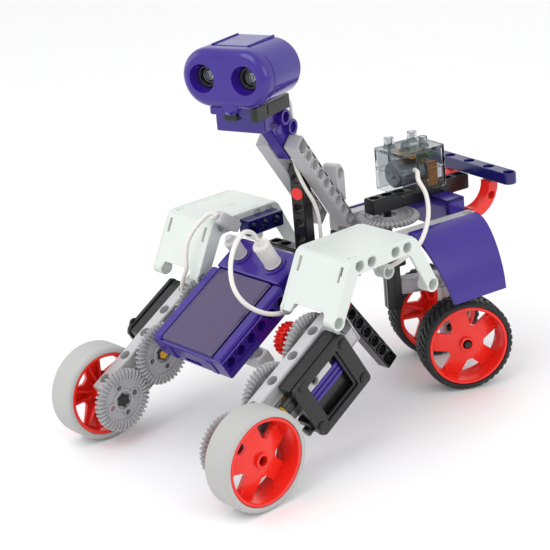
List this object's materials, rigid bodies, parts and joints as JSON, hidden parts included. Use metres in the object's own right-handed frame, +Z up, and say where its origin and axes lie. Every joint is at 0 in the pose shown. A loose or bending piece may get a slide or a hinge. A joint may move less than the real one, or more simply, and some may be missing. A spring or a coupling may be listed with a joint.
{
  "type": "educational robot rover",
  "caption": "Toy-kit robot on geared front wheels and a swivelling rear pair, with a control case, a leaning neck and a tilting sensor head.",
  "frame": {"origin": "on the floor, straight below the front axle, in the middle plane of the control case", "axes": "+Z up, -Y the way the robot faces, +X its own left"},
  "size_m": [0.1818, 0.2937, 0.2523],
  "materials": {
    "grey_plastic": "satin moulded",
    "panel_plastic": "satin moulded",
    "gear_plastic": "satin moulded",
    "violet_plastic": "gloss moulded",
    "indigo_plastic": "gloss moulded",
    "black_plastic": "satin moulded",
    "red_plastic": "gloss moulded",
    "front_tyre": "smooth grey rubber",
    "rear_tyre": "black rubber",
    "smoked_plastic": "clear smoked moulding",
    "cable_white": "soft cable jacket",
    "plug_plastic": "satin moulded",
    "motor_metal": "satin",
    "motor_copper": "satin"
  },
  "bodies": {
    "chassis": {"battery_block": "motor_metal", "cable_case": "cable_white", "cable_head": "cable_white", "cable_motor": "cable_white", "cable_plug": "cable_white", "control_case": "violet_plastic", "cross_beam_low": "grey_plastic", "fender_left": "violet_plastic", "fender_right": "violet_plastic", "frame_tie": "black_plastic", "head_yoke": "black_plastic", "leg_motor_left": "motor_metal", "leg_motor_right": "motor_metal", "leg_plate_left": "grey_plastic", "leg_plate_right": "grey_plastic", "link_beam": "black_plastic", "mast": "black_plastic", "motor_frame_left": "black_plastic", "motor_frame_right": "black_plastic", "motor_housing": "smoked_plastic", "neck_beam_left": "grey_plastic", "neck_beam_right": "grey_plastic", "neck_bracket": "violet_plastic", "neck_elbow": "grey_plastic", "plug_flat": "plug_plastic", "plug_grey": "plug_plastic", "plug_white": "plug_plastic", "red_arm_left": "red_plastic", "red_arm_right": "red_plastic", "shoulder_beam": "indigo_plastic", "shoulder_left": "panel_plastic", "shoulder_right": "panel_plastic", "side_beam_left": "grey_plastic", "side_beam_right": "grey_plastic", "spoiler": "indigo_plastic", "tail_beam": "black_plastic", "tail_bracket": "violet_plastic", "tail_motor": "motor_copper"},
    "drive_left": {"gear_a_left": "gear_plastic", "rim_front_left": "red_plastic", "tyre_front_left": "front_tyre"},
    "drive_right": {"gear_a_right": "gear_plastic", "rim_front_right": "red_plastic", "tyre_front_right": "front_tyre"},
    "idler_left": {"gear_b_left": "gear_plastic"},
    "idler_right": {"gear_b_right": "gear_plastic"},
    "motor_gear_left": {"gear_c_left": "gear_plastic", "red_gear": "red_plastic"},
    "motor_gear_right": {"gear_c_right": "gear_plastic"},
    "swivel": {"swivel_gear": "gear_plastic", "swivel_post": "black_plastic", "swivel_arm": "grey_plastic", "rear_axle": "black_plastic"},
    "wheel_rear_left": {"rim_rear_left": "red_plastic", "tyre_rear_left": "rear_tyre"},
    "wheel_rear_right": {"rim_rear_right": "red_plastic", "tyre_rear_right": "rear_tyre"},
    "head": {"head_shell": "violet_plastic", "sensor_module": "motor_metal"},
    "lid": {"case_lid": "smoked_plastic"}
  },
  "joints": [
    {"name": "wheel_front_left_spin", "type": "hinge", "parent": "chassis", "child": "drive_left", "pos_m": [0, 0, 0.031], "axis": [1, 0, 0], "continuous": true},
    {"name": "gear_b_left_spin", "type": "hinge", "parent": "chassis", "child": "idler_left", "pos_m": [0, 0.03454, 0.05118], "axis": [1, 0, 0], "continuous": true},
    {"name": "gear_c_left_spin", "type": "hinge", "parent": "chassis", "child": "motor_gear_left", "pos_m": [0, 0.06907, 0.07136], "axis": [1, 0, 0], "continuous": true},
    {"name": "wheel_front_right_spin", "type": "hinge", "parent": "chassis", "child": "drive_right", "pos_m": [0, 0, 0.031], "axis": [1, 0, 0], "continuous": true},
    {"name": "gear_b_right_spin", "type": "hinge", "parent": "chassis", "child": "idler_right", "pos_m": [0, 0.03454, 0.05118], "axis": [1, 0, 0], "continuous": true},
    {"name": "gear_c_right_spin", "type": "hinge", "parent": "chassis", "child": "motor_gear_right", "pos_m": [0, 0.06907, 0.07136], "axis": [1, 0, 0], "continuous": true},
    {"name": "rear_swivel", "type": "hinge", "parent": "chassis", "child": "swivel", "pos_m": [0.0167, 0.18283, 0.1], "axis": [0, 0, 1], "range_deg": [-25, 65]},
    {"name": "wheel_rear_left_spin", "type": "hinge", "parent": "swivel", "child": "wheel_rear_left", "pos_m": [0.03431, 0.21594, 0.031], "axis": [0.8829, -0.4695, 0], "continuous": true},
    {"name": "wheel_rear_right_spin", "type": "hinge", "parent": "swivel", "child": "wheel_rear_right", "pos_m": [0.03431, 0.21594, 0.031], "axis": [0.8829, -0.4695, 0], "continuous": true},
    {"name": "head_tilt", "type": "hinge", "parent": "chassis", "child": "head", "pos_m": [0.01345, 0.07601, 0.2105], "axis": [0.9563, 0.2924, 0], "range_deg": [-10, 15]},
    {"name": "lid_slide", "type": "slide", "parent": "chassis", "child": "lid", "axis": [0, -0.8634, -0.5045], "range_m": [0, 0.045]}
  ],
  "couplings": [
    {"joint": "gear_b_left_spin", "follows": "wheel_front_left_spin", "ratio": -1},
    {"joint": "gear_c_left_spin", "follows": "wheel_front_left_spin", "ratio": 1},
    {"joint": "gear_b_right_spin", "follows": "wheel_front_right_spin", "ratio": -1},
    {"joint": "gear_c_right_spin", "follows": "wheel_front_right_spin", "ratio": 1}
  ]
}
